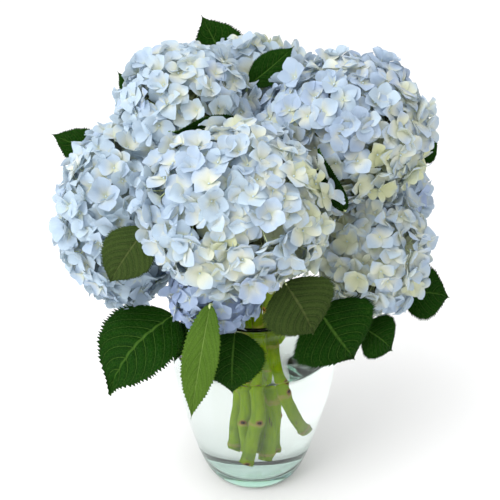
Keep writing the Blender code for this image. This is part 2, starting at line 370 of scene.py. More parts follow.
def clear_glass():
    glass = Finish("clear glass")
    breath = glass.speckle(14.0, 2.0)
    glass.surface(base_color=glass.blend((0.97, 0.99, 0.985), (0.99, 1.0, 0.995), breath),
                  roughness=0.012 * breath, ior=GLASS_IOR, transmission_weight=1.0,
                  specular_tint=FACE_ON_MIRROR)
    glass.relief(glass.speckle(26.0, 1.0), 0.04, 0.0008)
    absorb(glass, GLASS_DEPTH_TINT, GLASS_DEPTH_DENSITY)
    return glass


vase = add_piece("glass_vase", vase_bm, [clear_glass()], "vase")
print("glass on", vase.name)

# %% [markdown]
# ## The water
# Water touches the glass, so the two must not leave an air gap: its side runs a hair inside the
# glass wall. At the rim it climbs the glass in a small meniscus, which draws the bright line that
# the eye reads as the water's edge.

# %% Water
WATER_LEVEL = 0.147
WATER_IOR = 1.333
WATER_DEPTH_TINT = (0.90, 0.95, 0.86)
WATER_DEPTH_DENSITY = 1.5
INTO_GLASS = 0.0003
# how far in from the wall, and how far the water climbs there
MENISCUS = ((0.0, 0.0022), (0.0012, 0.0010), (0.0030, 0.0003), (0.0065, 0.0))


def water_profile():
    below = [(r + (INTO_GLASS if r else 0.0), z - INTO_GLASS / 2)
             for r, z in inner if z < WATER_LEVEL]
    wall_radius = below[-1][0]
    surface = [(wall_radius - inward, WATER_LEVEL + rise) for inward, rise in MENISCUS]
    return [*below, *surface, (0.0, WATER_LEVEL)]


def still_water():
    water = Finish("still water")
    ripple = water.speckle(40.0, 1.0)
    water.surface(base_color=water.blend((0.97, 0.99, 0.99), (0.99, 1.0, 1.0), ripple),
                  roughness=0.004 * ripple, ior=WATER_IOR, transmission_weight=1.0,
                  specular_tint=FACE_ON_MIRROR)
    water.relief(ripple, 0.03, 0.0005)
    absorb(water, WATER_DEPTH_TINT, WATER_DEPTH_DENSITY)
    return water


add_piece("water_in_vase", spun(water_profile()), [still_water()], "water")
print("water up to", WATER_LEVEL)

# %% [markdown]
# ## The stems
# A hydrangea stem is a juicy green cane with swollen joints, where leaves once grew, and small
# corky specks. Each stem has a thickness and a route from its cut foot in the water up to its
# mophead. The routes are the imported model's own, so every stem stays clear of its neighbours.

# %% Stem routes
# radius, and the points that the middle of the stem runs through
STEMS = {
    "stem_front": (0.0056, (
        (0.0480, -0.0340, 0.068), (0.0390, -0.0400, 0.085), (0.0310, -0.0440, 0.106),
        (0.0240, -0.0485, 0.131), (0.0150, -0.0345, 0.183), (0.0130, -0.0400, 0.222),
        (0.0110, -0.0510, 0.258), (0.0000, -0.0680, 0.298))),
    "stem_low_front": (0.0056, (
        (-0.0060, -0.0230, 0.029), (-0.0010, -0.0260, 0.068), (0.0028, -0.0270, 0.108),
        (-0.0120, -0.0300, 0.180), (-0.0190, -0.0420, 0.208), (-0.0250, -0.0560, 0.236))),
    "stem_upper_right": (0.0054, (
        (0.0075, -0.0060, 0.028), (0.0125, -0.0075, 0.066), (0.0130, -0.0075, 0.107),
        (0.0025, -0.0010, 0.180), (0.0130, 0.0020, 0.238), (0.0450, 0.0020, 0.305),
        (0.0620, 0.0010, 0.340))),
    "stem_lower_right": (0.0050, (
        (0.0030, 0.0070, 0.034), (0.0065, 0.0100, 0.095), (0.0160, 0.0085, 0.130),
        (0.0235, 0.0020, 0.156), (0.0290, -0.0040, 0.182), (0.0350, -0.0080, 0.202),
        (0.0530, -0.0110, 0.218), (0.0880, -0.0140, 0.236))),
    "stem_left": (0.0050, (
        (-0.0040, -0.0110, 0.042), (-0.0068, -0.0140, 0.080), (-0.0065, -0.0145, 0.107),
        (-0.0230, -0.0090, 0.158), (-0.0310, -0.0060, 0.184), (-0.0360, -0.0060, 0.203),
        (-0.0540, -0.0060, 0.226), (-0.0900, -0.0060, 0.256))),
    "stem_upper_left": (0.0042, (
        (-0.0137, -0.0078, 0.043), (-0.0122, -0.0040, 0.080), (-0.0080, -0.0010, 0.115),
        (-0.0100, -0.0020, 0.180), (-0.0150, 0.0000, 0.240), (-0.0350, 0.0070, 0.306),
        (-0.0490, 0.0110, 0.346))),
    "stem_top_back": (0.0044, (
        (0.0000, 0.0200, 0.030), (0.0000, 0.0220, 0.107), (-0.0060, 0.0220, 0.180),
        (-0.0060, 0.0290, 0.250), (-0.0060, 0.0490, 0.304), (-0.0050, 0.0700, 0.338))),
    "stem_back_right": (0.0046, (
        (0.0105, 0.0180, 0.030), (0.0120, 0.0220, 0.107), (0.0150, 0.0290, 0.180),
        (0.0300, 0.0370, 0.208), (0.0600, 0.0440, 0.238), (0.0950, 0.0490, 0.264))),
    "stem_back_left": (0.0044, (
        (-0.0090, 0.0080, 0.044), (-0.0110, 0.0120, 0.107), (-0.0220, 0.0200, 0.180),
        (-0.0340, 0.0370, 0.216), (-0.0530, 0.0700, 0.250))),
}
print("stem routes:", len(STEMS))

# %% [markdown]
# ### Growing a tube
# A curve with a bevel could draw a stem too, but a ring that is carried along and extruded step
# by step can swell at every step, and its points stay at hand for numbers to be written on them.

# %% Grow a tube
def grow_tube(bm, samples, radius_at, sides):
    """Carries a ring along the samples, extruding a skin behind it. Returns the rings."""
    ahead = (samples[1] - samples[0]).normalized()
    turn = UP.rotation_difference(ahead).to_matrix().to_4x4()
    ring = bmesh.ops.create_circle(bm, segments=sides, radius=1.0,
                                   matrix=Matrix.Translation(samples[0]) @ turn)["verts"]
    bmesh.ops.scale(bm, verts=ring, vec=[radius_at(0.0)] * 3,
                    space=Matrix.Translation(-samples[0]))
    edges = [e for e in bm.edges if e.verts[0] in ring and e.verts[1] in ring]
    rings = [ring]
    travelled = 0.0
    for here, there in zip(samples, samples[1:]):
        step = there - here
        new = bmesh.ops.extrude_edge_only(bm, edges=edges)["geom"]
        ring = [v for v in new if isinstance(v, bmesh.types.BMVert)]
        edges = [e for e in new if isinstance(e, bmesh.types.BMEdge)]
        swing = ahead.rotation_difference(step.normalized()).to_matrix().to_4x4()
        grow = radius_at(travelled + step.length) / radius_at(travelled)
        move = (Matrix.Translation(there) @ swing @ Matrix.Scale(grow, 4)
                @ Matrix.Translation(-here))
        bmesh.ops.transform(bm, matrix=move, verts=ring)
        ahead = step.normalized()
        travelled += step.length
        rings.append(ring)
    return rings


print("tube tool ready")

# %% [markdown]
# ### Joints, leaf scars and the slanted cut
# The radius swells at each joint, and a bud or the scar of a fallen leaf sits just above it. How
# near a point is to a joint or a scar is written on the mesh as a number, so that the finish can
# colour the same places. The foot is then sliced at a slant with `bisect_plane`, as a florist
# cuts it, and `holes_fill` closes the cut for the pale pith.

# %% Stem shapes
STEM_SIDES = 24
STEM_STEPS = 110
FIRST_JOINT = (0.004, 0.016)
JOINT_GAPS = (0.034, 0.062)
JOINT_LENGTH = 0.0042
JOINT_SWELL = 0.17
LAST_JOINT = 0.4
SCAR_SIZE = 0.0029
SCAR_ABOVE_JOINT = 0.003
SCAR_HEIGHT = 0.0009
GNARL_DEPTH = 0.030
GNARL_AT_JOINT = 0.07
CUT_SLANT = Vector((0.45, 0.2, 0.0))


def joint_swell(distance, joints):
    """1 at the middle of a joint, falling to 0 a few millimetres either side."""
    return max(math.exp(-((distance - j) / JOINT_LENGTH) ** 2) for j in joints)


def scar_strength(distance, side, joints, buds, radius):
    """1 in the middle of a leaf scar, falling to 0 round it."""
    strength = 0.0
    for place, bud in zip(joints, buds):
        sides_away = min((side - bud) % STEM_SIDES, (bud - side) % STEM_SIDES)
        round_way = sides_away * math.tau / STEM_SIDES * radius
        apart = math.hypot(distance - place - SCAR_ABOVE_JOINT, round_way) / SCAR_SIZE
        strength = max(strength, math.exp(-apart * apart))
    return strength


def cut_foot(bm, route):
    """Slices the foot off at a slant and closes it with a face of its own material."""
    along = (Vector(route[1]) - Vector(route[0])).normalized()
    whole = bm.verts[:] + bm.edges[:] + bm.faces[:]
    bmesh.ops.bisect_plane(bm, geom=whole, plane_co=Vector(route[0]),
                           plane_no=-(along + CUT_SLANT).normalized(), clear_outer=True)
    skin = set(bm.faces)
    bmesh.ops.holes_fill(bm, edges=[e for e in bm.edges if e.is_boundary])
    for face in bm.faces:
        face.material_index = 0 if face in skin else 1
    bmesh.ops.recalc_face_normals(bm, faces=bm.faces)


def make_stem_mesh(name, seed):
    radius, route = STEMS[name]
    dice = random.Random(seed)
    joints = [dice.uniform(*FIRST_JOINT)]
    while joints[-1] < LAST_JOINT:
        joints.append(joints[-1] + dice.uniform(*JOINT_GAPS))
    samples = smooth_route(route, STEM_STEPS)
    samples[0] += (samples[0] - samples[1]).normalized() * radius

    def radius_at(distance):
        wobble = noise.noise(Vector((distance * 55, seed * 3.1, 0))) * 0.05
        return radius * (0.96 + wobble + JOINT_SWELL * joint_swell(distance, joints))

    bm = bmesh.new()
    joint = bm.verts.layers.float.new("joint")
    scar = bm.verts.layers.float.new("scar")
    rings = grow_tube(bm, samples, radius_at, STEM_SIDES)
    buds = [dice.randrange(STEM_SIDES) for _ in joints]
    distance = 0.0
    for k, ring in enumerate(rings):
        if k:
            distance += (samples[k] - samples[k - 1]).length
        middle = samples[k]
        for side, v in enumerate(ring):
            v[joint] = joint_swell(distance, joints)
            v[scar] = scar_strength(distance, side, joints, buds, radius)
            gnarl = noise.noise(v.co * 190) + 0.5 * noise.noise(v.co * 420)
            v.co += (v.co - middle) * (GNARL_DEPTH + GNARL_AT_JOINT * v[joint]) * gnarl
            v.co += (v.co - middle).normalized() * SCAR_HEIGHT * v[scar]
    cut_foot(bm, route)
    return bm


print("joints every", JOINT_GAPS, "metres")

# %% [markdown]
# ### Stem colours
# The skin is a fresh green with fine streaks that run along the stem, so the noise is squashed
# in height. Above the water it darkens to olive, which is painted shade under the mopheads that
# hang over it. Corky specks, pale callus on the joints and brown leaf scars are laid over it in
# turn, each with a mask of its own.

# %% Stem finishes
WET_GREEN = (0.15, 0.32, 0.001)
WET_LIME = (0.46, 0.64, 0.004)
# painted shade: the olive that the stems darken to above the water, under the mopheads
SHADE_OLIVE_ABOVE_WATER = (0.115, 0.135, 0.022)
DEEP_GREEN = (0.15, 0.27, 0.015)
CORK = (0.16, 0.09, 0.03)
CALLUS = (0.50, 0.43, 0.08)
SCAR_RIM = (0.40, 0.22, 0.04)
SCAR_HEART = (0.07, 0.025, 0.003)
DULL_FROM, DULL_TO = 0.150, 0.200


def stem_skin():
    skin = Finish("green stem")
    where = skin.place()
    stretched = skin.node("Mapping", {}, {"Vector": where, "Scale": (1.0, 1.0, 0.16)})
    streak = skin.speckle(420.0, 3.0, stretched)
    patch = skin.speckle(45.0, 2.0, where)
    height = skin.node("SeparateXYZ", {}, {0: where}, out=2)
    green = skin.blend(WET_GREEN, WET_LIME, streak)
    # painted shade: darker olive from the waterline up, where the mopheads hang over the stems
    green = skin.blend(green, SHADE_OLIVE_ABOVE_WATER, skin.fade(height, DULL_FROM, DULL_TO) * 0.75)
    green = skin.blend(green, DEEP_GREEN, skin.fade(patch, 0.50, 0.72) * 0.55)
    corky = skin.node("TexVoronoi", {}, {"Vector": stretched, "Scale": 230.0})
    specks = 1.0 - skin.fade(corky, 0.10, 0.20)
    specks = specks * skin.fade(skin.speckle(90.0, 1.0, where), 0.50, 0.56)
    green = skin.blend(green, CORK, specks * 0.75)
    ring = skin.attribute("joint")
    callus = skin.fade(ring + skin.speckle(300.0, 4.0, where) * 0.9, 1.05, 1.45)
    green = skin.blend(green, CALLUS, callus * 0.85)
    scar = skin.attribute("scar") + (skin.speckle(500.0, 3.0, where) - 0.5) * 0.35
    green = skin.blend(green, SCAR_RIM, skin.fade(scar, 0.30, 0.50))
    green = skin.blend(green, SCAR_HEART, skin.fade(scar, 0.62, 0.78))
    skin.surface(base_color=green, roughness=0.42 + 0.25 * streak, specular_ior_level=0.06)
    skin.relief(streak * 0.5 + specks + callus, 0.40, 0.0006)
    return skin


def stem_pith():
    pith = Finish("cut stem end")
    grain = pith.speckle(500.0, 3.0)
    pith.surface(base_color=pith.blend((0.62, 0.66, 0.36), (0.78, 0.79, 0.55), grain),
                 roughness=0.55 + 0.2 * grain)
    pith.relief(grain, 0.3, 0.0003)
    return pith


stem_finishes = [stem_skin(), stem_pith()]
for seed, stem_name in enumerate(STEMS):
    add_piece(stem_name.replace("stem", "flower_stem"), make_stem_mesh(stem_name, seed),
              stem_finishes, stem_name)
print("stems:", len(STEMS))

# %% [markdown]
# ## Where the leaves lie
# The leaves come first on paper, because the florets have to make room for them. Each row gives
# the foot and the tip of a blade, its full width, the way its face looks, and how far its midrib
# bows out of the straight line.

# %% Leaf places
# foot, tip, width, way the face looks, bow of the midrib
LEAVES = {
    "leaf_top_back": (
        (-0.019, 0.143, 0.371), (-0.051, 0.148, 0.428), 0.058, (-0.1, -0.9, 0.5), 0.004),
    "leaf_between_upper": (
        (-0.0064, -0.0253, 0.3850), (-0.0699, -0.0590, 0.3918), 0.034,
        (0.390, -0.822, -0.415), 0.0),
    "leaf_far_left": (
        (-0.138, 0.060, 0.317), (-0.190, 0.058, 0.342), 0.040, (-0.3, -0.8, 0.5), 0.004),
    "leaf_tip_back_left": (
        (-0.103, 0.076, 0.360), (-0.128, 0.084, 0.394), 0.024, (-0.2, -0.8, 0.5), 0.002),
    "leaf_top_middle": (
        (-0.004, 0.031, 0.401), (0.035, 0.043, 0.432), 0.030, (0.15, -0.85, 0.5), 0.003),
    "leaf_front_right": (
        (0.0740, -0.0745, 0.3285), (0.0504, -0.0690, 0.3815), 0.034,
        (-0.712, -0.643, -0.283), 0.0),
    "leaf_far_right": (
        (0.1500, 0.0520, 0.3230), (0.1715, 0.0500, 0.3390), 0.032, (0.3, -0.8, 0.5), 0.002),
    "leaf_left_inner": (
        (-0.0910, -0.0790, 0.3148), (-0.1248, -0.0830, 0.2627), 0.048, (-0.10, -0.95, 0.20), 0.004),
    "leaf_low_left": (
        (-0.0733, -0.0570, 0.2147), (-0.1302, -0.1060, 0.1645), 0.096,
        (-0.45, -0.55, 0.75), 0.010),
    "leaf_low_shadow": (
        (-0.054, -0.056, 0.214), (-0.072, -0.088, 0.184), 0.024, (-0.35, -0.65, 0.65), 0.003),
    "leaf_pale_narrow": (
        (-0.0375, -0.106, 0.256), (-0.056, -0.126, 0.150), 0.034, (-0.15, -0.90, 0.40), 0.006),
    "leaf_low_middle": (
        (-0.0172, -0.0820, 0.2130), (-0.0198, -0.1120, 0.1678), 0.062, (-0.05, -0.75, 0.65), 0.008),
    "leaf_olive_front": (
        (0.0250, -0.1100, 0.2800), (0.0503, -0.1230, 0.2369), 0.072, (0.30, -0.85, 0.45), 0.006),
    "leaf_low_right": (
        (0.0557, -0.0740, 0.2318), (0.0893, -0.0940, 0.1914), 0.090, (0.10, -0.75, 0.62), 0.008),
    "leaf_low_right_back": (
        (0.0980, -0.0600, 0.2030), (0.1258, -0.0670, 0.1830), 0.050, (0.30, -0.65, 0.70), 0.006),
    "leaf_right_outer": (
        (0.1380, -0.0120, 0.2100), (0.1834, -0.0150, 0.2085), 0.060, (0.35, -0.60, 0.70), 0.006),
    "leaf_back_low_left": (
        (-0.0550, 0.0850, 0.2120), (-0.0880, 0.1300, 0.1820), 0.064, (-0.30, 0.65, 0.70), 0.006),
    "leaf_back_low_right": (
        (0.0280, 0.0850, 0.2450), (0.0600, 0.1250, 0.2000), 0.058, (0.25, 0.75, 0.60), 0.006),
    "leaf_back_middle": (
        (0.0420, 0.0760, 0.2640), (0.0500, 0.1060, 0.3270), 0.046, (0.25, 0.95, -0.20), 0.004),
}


def blade_frame(node):
    """Foot, tip, width, face and side directions and bow of one blade."""
    foot, tip, width, face_way, bow = LEAVES[node]
    foot, tip = Vector(foot), Vector(tip)
    along = (tip - foot).normalized()
    face = Vector(face_way)
    face = (face - along * face.dot(along)).normalized()
    return foot, tip, width, face, along.cross(face), bow


# Florets keep this far from the spots on a blade, and further where a blade is squeezed in.
LEAF_ROOM = 0.0085
SQUEEZED_ROOM = {"leaf_between_upper": 0.014, "leaf_front_right": 0.013,
                 "leaf_right_outer": 0.012, "leaf_tip_back_left": 0.012}
SPOT_STEPS = 8
SPOT_ACROSS = (-0.4, 0.0, 0.4)


def blade_spots(node):
    """Spots spread over a blade, each with the room that it needs."""
    foot, tip, width, face, side, bow = blade_frame(node)
    room = SQUEEZED_ROOM.get(node, LEAF_ROOM)
    for step in range(SPOT_STEPS + 1):
        u = step / SPOT_STEPS
        for across in SPOT_ACROSS:
            yield (foot.lerp(tip, u) + side * (width * across)
                   + face * (bow * math.sin(math.pi * u))), room


BLADE_SPOTS = [spot for node in LEAVES for spot in blade_spots(node)]
print("leaf places:", len(LEAVES), "spots to keep free:", len(BLADE_SPOTS))

# %% [markdown]
# ## One petal, one floret
# A mophead is made of many small flowers of four broad, overlapping sepals round a tiny bead.
# One sepal is a small grid pushed into shape: narrow at its foot, widest past the middle, cupped
# across and curled at the tip. Four of them, a bead and a stalk make a floret of a few dozen
# faces, because it is repeated hundreds of times. A few different florets are enough.

# %% Sepal shape
SEPAL_LENGTH = 0.0142
SEPAL_WIDTH = 0.0150
SEPAL_RIPPLE = 0.0007
SEPAL_TWIST = 0.30
# the rounding of a sepal's tip starts here
TIP_FROM = 0.8


def sepal_half_width(u):
    broad = math.sin(math.pi * min(1.0, 0.05 + 0.78 * u ** 0.90)) ** 0.60
    tip = 1.0 if u < TIP_FROM else 1.0 - 0.62 * ((u - TIP_FROM) / (1.0 - TIP_FROM)) ** 2
    return 0.5 * broad * tip


def add_sepal(bm, turn, dice, cup, lift, curl, size):
    """A grid bent into a sepal that leaves the floret's centre along `turn`."""
    along = bm.verts.layers.float["along"]
    maps = bm.loops.layers.uv["sepal"]
    new = bmesh.ops.create_grid(bm, x_segments=4, y_segments=3, size=1.0)["verts"]
    twist = dice.uniform(-SEPAL_TWIST, SEPAL_TWIST)
    wave = dice.uniform(0.0, math.tau)
    flat = {}
    for v in new:
        u, across = (v.co.x + 1.0) / 2.0, v.co.y
        flat[v] = (u, across)
        half = SEPAL_WIDTH * size * sepal_half_width(u)
        reach = SEPAL_LENGTH * size * (u - 0.07 * across * across * u)
        rise = SEPAL_LENGTH * size * (lift * u - curl * u ** 3)
        rise += half * (cup * across * across + twist * across)
        rise += SEPAL_RIPPLE * math.sin(wave + 5.0 * across + 3.0 * u) * u
        v.co = (reach, half * across, rise)
        v[along] = u
    for v in new:
        for loop in v.link_loops:
            u, across = flat[v]
            loop[maps].uv = (u, across * 0.5 + 0.5)
    bmesh.ops.rotate(bm, verts=new, cent=(0, 0, 0), matrix=Matrix.Rotation(turn, 3, "Z"))


print("sepal:", SEPAL_LENGTH, "by", SEPAL_WIDTH)

# %% [markdown]
# ### The florets
# No two florets open the same way. A few kinds, from wide open to half closed, are made once
# and then planted again and again, each time turned, tilted and tinted differently.

# %% Florets
BEAD_SIZE = 0.0021
BEAD_LIFT = 0.0009
STALK_LENGTH = 0.018
STALK_FOOT, STALK_TOP = 0.0006, 0.0010
# lift of the sepals: small for a wide open floret, large for a half closed one
OPENNESS = (0.06, 0.16, 0.30, 0.48, 0.75, 0.12, 0.24, 0.38)
FLORET_SEED = 100


def petal_mesh():
    """An empty bmesh with the numbers and the map that the petal finish reads."""
    bm = bmesh.new()
    for name in ("along", "tint", "shade"):
        bm.verts.layers.float.new(name)
    bm.loops.layers.uv.new("sepal")
    return bm


def floret_mesh(kind):
    dice = random.Random(FLORET_SEED + kind)
    bm = petal_mesh()
    start = dice.uniform(0, math.tau)
    for k in range(4):
        add_sepal(bm, start + k * math.tau / 4 + dice.uniform(-0.18, 0.18), dice,
                  cup=dice.uniform(-0.10, 0.60), curl=dice.uniform(0.0, 0.45),
                  lift=OPENNESS[kind] + dice.uniform(-0.10, 0.22) + 0.06 * (k % 2),
                  size=dice.uniform(0.84, 1.12))
    petals = set(bm.faces)
    lifted = Matrix.Translation((0, 0, BEAD_LIFT))
    bead = bmesh.ops.create_cube(bm, size=BEAD_SIZE, matrix=lifted)["verts"]
    sunk = Matrix.Translation((0, 0, -STALK_LENGTH / 2))
    bmesh.ops.create_cone(bm, segments=3, radius1=STALK_FOOT, radius2=STALK_TOP,
                          depth=STALK_LENGTH, cap_ends=False, matrix=sunk)
    for face in bm.faces:
        if face not in petals:
            face.material_index = 1 if face.verts[0] in bead else 2
    mesh = bpy.data.meshes.new(f"floret kind {kind}")
    bm.to_mesh(mesh)
    bm.free()
    return mesh


floret_kinds = [floret_mesh(kind) for kind in range(len(OPENNESS))]
print("faces in a floret:", len(floret_kinds[0].polygons))

# %% [markdown]
# ## Setting florets round a mophead
# Points spread evenly over a ball lie on a spiral that turns by the golden angle. Each point
# becomes a floret, facing outwards with some tilt and spin. A second, deeper layer fills the
# gaps, and it is creamier, because the light never reached it. Points that lie in a neighbouring
# mophead are left out, so the heads press against each other as real ones do.

# %% Mophead places
# warm: share of cream; violet: share of lavender in the blue; lean: the way it gets warmer
HEADS = {
    "bloom_front": (0.50, 0.20, (0.24, 0.0, -0.10)),
    "bloom_upper_left": (0.34, 0.16, (0.15, 0.0, -0.05)),
    "bloom_upper_right": (0.50, 0.34, (0.12, -0.1, -0.30)),
    "bloom_lower_right": (0.62, 0.25, (-0.15, 0.0, -0.05)),
    "bloom_left": (0.12, 0.02, (0.05, 0.0, 0.16)),
    "bloom_low_front": (0.00, 0.85, (0.0, 0.0, 0.0)),
    "bloom_top_back": (0.46, 0.10, (0.1, 0.0, 0.0)),
    "bloom_back_right": (0.40, 0.35, (0.0, 0.1, -0.1)),
    "bloom_back_left": (0.25, 0.30, (0.0, 0.1, -0.1)),
}
FLORET_SPACING = 0.0141
# share of the radius, spacing against the outer layer's, and how deep and creamy it is
FLORET_LAYERS = ((0.95, 1.0, 0.0), (0.76, 1.25, 0.42))
GOLDEN_TURN = math.pi * (3.0 - math.sqrt(5.0))
SPIRAL_JITTER = 0.09
HEAD_LUMPS = 0.05
# share of a ball's skin that one floret covers, against the square of the spacing
FLORET_COVER = 0.87
NEIGHBOUR_SHARE = 0.97


def head_ball(node):
    low, high = (Vector(corner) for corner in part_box(node))
    return (low + high) / 2, (high - low) / 2


BALLS = {node: head_ball(node) for node in HEADS}


def depth_in(node, point):
    """1 on the surface of a mophead's ball, less inside it."""
    middle, half = BALLS[node]
    offset = point - middle
    return math.sqrt(sum((o / h) ** 2 for o, h in zip(offset, half)))


def spiral(count):
    for k in range(count):
        z = 1.0 - 2.0 * (k + 0.5) / count
        r = math.sqrt(1.0 - z * z)
        yield Vector((r * math.cos(k * GOLDEN_TURN), r * math.sin(k * GOLDEN_TURN), z))


def taken(node, point, share):
    """True where a neighbouring mophead or a leaf already has the room."""
    own = depth_in(node, point)
    for other in HEADS:
        if other != node and depth_in(other, point) < min(own, share * NEIGHBOUR_SHARE):
            return True
    return any((spot - point).length < room for spot, room in BLADE_SPOTS)


def floret_places(node, share, spacing, dice):
    """Places and outward directions for one layer of florets, at `share` of the radius."""
    middle, half = BALLS[node]
    count = int(4 * math.pi * (sum(half) / 3 * share) ** 2 / (spacing ** 2 * FLORET_COVER))
    for ray in spiral(count):
        jitter = [dice.uniform(-SPIRAL_JITTER, SPIRAL_JITTER) for _ in range(3)]
        ray = (ray + Vector(jitter)).normalized()
        outward = Vector(a / b for a, b in zip(ray, half)).normalized()
        lump = 1.0 + HEAD_LUMPS * noise.noise(ray * 2.3 + middle * 30)
        point = middle + Vector(a * b for a, b in zip(ray, half)) * share * lump
        if not taken(node, point, share):
            yield point, outward


print("mopheads to fill:", len(BALLS))

# %% [markdown]
# ### Planting
# A floret goes in as a moved copy of one of the kinds. Its warmth and its violet are written on
# all of its points. They drift slowly across the head, so that neighbours are alike, with a
# little chance on top. A lumpy ball stands for the tangle of stalks inside, coloured with
# painted shade.

# %% Plant the florets
HEAD_SEED = 1000
SMALL_HEAD = {"bloom_low_front": 0.85}
TILT_SPREAD = 0.32
TILT_DEEPER = 0.5
SINK_AND_RISE = (-0.004, 0.003)
FLORET_SIZES = (0.82, 1.08)
TINT_DRIFT = 0.50
TINT_SCALE = 24.0
TINT_CHANCE = 0.12
SHADE_CHANCE = 0.18
CORE_SHARE = 0.68
CORE_LUMPS = 0.10


def plant_floret(bm, kind, matrix, tint, shade):
    """Adds one floret: a moved copy of a kind, with its two colour numbers written on it."""
    floret = kind.copy()
    floret.transform(matrix)
    count = len(floret.vertices)
    floret.attributes["tint"].data.foreach_set("value", [tint] * count)
    floret.attributes["shade"].data.foreach_set("value", [shade] * count)
    bm.from_mesh(floret)
    bpy.data.meshes.remove(floret)


def mophead_mesh(node, seed):
    warm_share, violet_share, lean = HEADS[node]
    middle, half = BALLS[node]
    dice = random.Random(HEAD_SEED + seed)
    bm = petal_mesh()
    small = SMALL_HEAD.get(node, 1.0)
    for share, spread, deep in FLORET_LAYERS:
        spacing = FLORET_SPACING * spread * small
        for point, outward in floret_places(node, share, spacing, dice):
            spread_of_tilt = TILT_SPREAD + deep * TILT_DEEPER
            tilt = Vector([dice.gauss(0.0, spread_of_tilt) for _ in range(3)])
            facing = (outward + tilt).normalized()
            matrix = (Matrix.Translation(point + outward * dice.uniform(*SINK_AND_RISE))
                      @ facing.to_track_quat("Z", "Y").to_matrix().to_4x4()
                      @ Matrix.Rotation(dice.uniform(0, math.tau), 4, "Z")
                      @ Matrix.Scale(dice.uniform(*FLORET_SIZES) * small, 4))
            drift = noise.noise(point * TINT_SCALE + Vector((seed, 0, 0))) * TINT_DRIFT
            way = sum(a * b / c for a, b, c in zip(lean, point - middle, half))
            warm = warm_share + drift + way + deep * 0.6 + dice.gauss(0.0, TINT_CHANCE)
            shade = violet_share + dice.gauss(0.0, SHADE_CHANCE)
            plant_floret(bm, dice.choice(floret_kinds), matrix,
                         min(1.0, max(0.0, warm)), min(1.0, max(0.0, shade)))
    return bm


def add_core(bm, node):
    """The tangle of stalks inside, as a lumpy ball in painted shade that stops the eye between the
    florets.
    """
    middle, half = BALLS[node]
    new = bmesh.ops.create_icosphere(bm, subdivisions=3, radius=1.0)["verts"]
    for v in new:
        lump = 1.0 + CORE_LUMPS * noise.noise(v.co * 7.0)
        v.co = middle + Vector(a * b for a, b in zip(v.co, half)) * CORE_SHARE * lump
    for face in {f for v in new for f in v.link_faces}:
        face.material_index = 3


print("layers of florets:", len(FLORET_LAYERS))

# %% [markdown]
# ### Petal colour
# Each sepal is creamy or yellow-green at its foot and takes on blue towards its edge. How much
# blue differs from floret to floret. The two numbers written on each floret, its warmth and its
# violet, drive one shared finish. Thin petals also let light through, so a share of the light is
# translucent.

# %% Petal finish
PETAL_BLUE = (0.50, 0.615, 0.715)
PETAL_LAVENDER = (0.35, 0.445, 0.68)
PETAL_CREAM = (0.76, 0.77, 0.66)
PETAL_LIME = (0.66, 0.68, 0.38)
PETAL_FOOT = (0.60, 0.64, 0.36)
PETAL_VEIN = (0.36, 0.46, 0.72)
PETAL_GLOW = (0.58, 0.66, 0.69)
PETAL_GLOW_SHARE = 0.30
VEINS_PER_SEPAL = 46.0


def let_light_through(finish, colour, share):
    """Mixes in light of one colour from behind, as thin petals and leaves show it."""
    behind = finish.node("BsdfTranslucent", {}, {"Color": colour})
    mixed = finish.node("MixShader", {}, {0: share, 1: Signal(finish, finish.shader.outputs[0]),
                                          2: behind})
    finish.tree.links.new(mixed.socket, finish.output.inputs["Surface"])


def petal_finish():
    petal = Finish("petal")
    along = petal.attribute("along")
    warm = petal.attribute("tint")
    violet = petal.attribute("shade")
    sheet = petal.node("UVMap", {"uv_map": "sepal"})
    grain = petal.speckle(160.0, 3.0)
    blue = petal.blend(PETAL_BLUE, PETAL_LAVENDER, violet)
    cream = petal.blend(PETAL_CREAM, PETAL_LIME, petal.fade(warm, 0.50, 1.0))
    edge = along + (grain - 0.5) * 0.35 - warm * 0.95 + 0.35
    colour = petal.blend(cream, blue, petal.fade(edge, 0.0, 0.75))
    foot = 1.0 - petal.fade(along, 0.04, 0.30)
    colour = petal.blend(colour, PETAL_FOOT, foot * 0.55)
    u, v = petal.split(sheet)
    fan = (v - 0.5) / (u * 0.75 + 0.35)
    veins = (fan * VEINS_PER_SEPAL + petal.speckle(60.0, 2.0, sheet) * 2.0).math("SINE")
    veins = petal.fade(veins, 0.55, 1.0)
    colour = petal.blend(colour, petal.blend(colour, PETAL_VEIN, 0.5), veins * 0.28)
    petal.surface(base_color=colour, roughness=0.55 + 0.15 * grain, specular_ior_level=0.3,
                  sheen_weight=0.12)
    petal.relief(veins * 0.6 + grain * 0.5, 0.25, 0.0004)
    let_light_through(petal, PETAL_GLOW, PETAL_GLOW_SHARE)
    return petal


print("petals let through", PETAL_GLOW_SHARE, "of the light")

# %% [markdown]
# ### Beads, stalks and the dark inside
# What shows between the petals matters as much as they do: bluish beads in the middle of the
# florets, pale green stalks, and deep inside a ball of stalks in mossy green and painted shade
# that gives the head its depth.

# %% Finishes inside a mophead
def bead_finish():
    bead = Finish("floret bead")
    grain = bead.speckle(900.0, 2.0)
    bead.surface(base_color=bead.blend((0.62, 0.70, 0.62), (0.42, 0.55, 0.78), grain),
                 roughness=0.4 + 0.2 * grain)
    return bead


def stalk_finish():
    stalk = Finish("floret stalk")
    grain = stalk.speckle(120.0, 2.0)
    stalk.surface(base_color=stalk.blend((0.46, 0.56, 0.20), (0.66, 0.72, 0.42), grain),
                  roughness=0.45 + 0.2 * grain)
    return stalk


